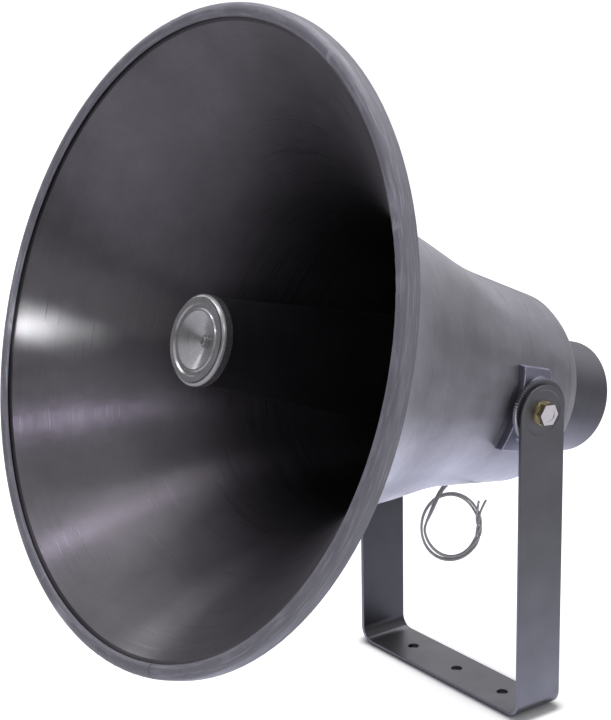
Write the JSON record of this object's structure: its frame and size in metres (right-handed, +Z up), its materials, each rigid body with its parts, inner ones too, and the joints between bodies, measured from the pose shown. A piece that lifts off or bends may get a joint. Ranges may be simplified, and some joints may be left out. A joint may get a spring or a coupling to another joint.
{
  "type": "horn loudspeaker",
  "caption": "Folded horn loudspeaker with a wide flared bell, a central reflector tube and a cup-covered driver, tilting on bolts in a U-bracket, with short leads looped beneath.",
  "frame": {"origin": "middle hole of the bracket's base, on its underside, where the base bolts down", "axes": "+Z up, square to the base; -Y the way the horn faces, stored tipped 17.6 degrees up; +X to the right as seen from behind the horn"},
  "size_m": [0.5, 0.4849, 0.5848],
  "materials": {
    "grey_paint": "satin",
    "cap_paint": "satin",
    "cover_paint": "satin",
    "cast_paint": "satin",
    "cast_alloy": "matte",
    "bracket_paint": "satin",
    "trim": "satin",
    "zinc_steel": "satin",
    "plain_steel": "satin",
    "ferrite": "matte",
    "black_plastic": "matte",
    "rubber": "matte",
    "laminate": "matte",
    "tag_brass": "satin",
    "lead_jacket": "satin",
    "dome": "satin",
    "surround": "matte",
    "former": "satin",
    "coil_wire": "gloss"
  },
  "bodies": {
    "bracket": {"u_bracket": "bracket_paint"},
    "horn": {"bell": "grey_paint", "edge_trim": "trim", "reflector": "grey_paint", "reflector_cap": "cap_paint", "reflector_screw": "zinc_steel", "tone_arm": "cast_alloy", "tone_arm_spider": "cast_alloy", "centring_fins": "black_plastic", "cover_gasket": "rubber", "throat_plate": "cast_alloy", "throat_screws": "zinc_steel", "phase_plug": "black_plastic", "clamp_ring": "black_plastic", "magnet_top_plate": "plain_steel", "unit_screws": "zinc_steel", "magnet": "ferrite", "back_plate": "plain_steel", "rear_cover": "cover_paint", "cover_spacers": "black_plastic", "cover_screws": "zinc_steel", "cable_grommet": "rubber", "terminal_board": "laminate", "terminal_tags": "tag_brass", "inner_leads": "lead_jacket", "right_lug": "cast_paint", "left_lug": "cast_paint", "lug_screws": "zinc_steel", "right_friction_disc": "plain_steel", "left_friction_disc": "plain_steel", "pivot_bolts": "zinc_steel", "lead_wires": "lead_jacket", "lead_loop": "lead_jacket", "lead_ends": "lead_jacket"},
    "diaphragm_body": {"diaphragm": "dome", "surround": "surround", "coil_former": "former", "voice_coil": "coil_wire"}
  },
  "joints": [
    {"name": "horn_tilt", "type": "hinge", "parent": "bracket", "child": "horn", "pos_m": [0, 0, 0.2586], "axis": [-1, 0, 0], "range_deg": [-60, 72]},
    {"name": "diaphragm_travel", "type": "slide", "parent": "horn", "child": "diaphragm_body", "axis": [0, -0.9532, 0.3024], "range_m": [-0.0003, 0.0003], "stiffness_N_per_m": 800}
  ]
}
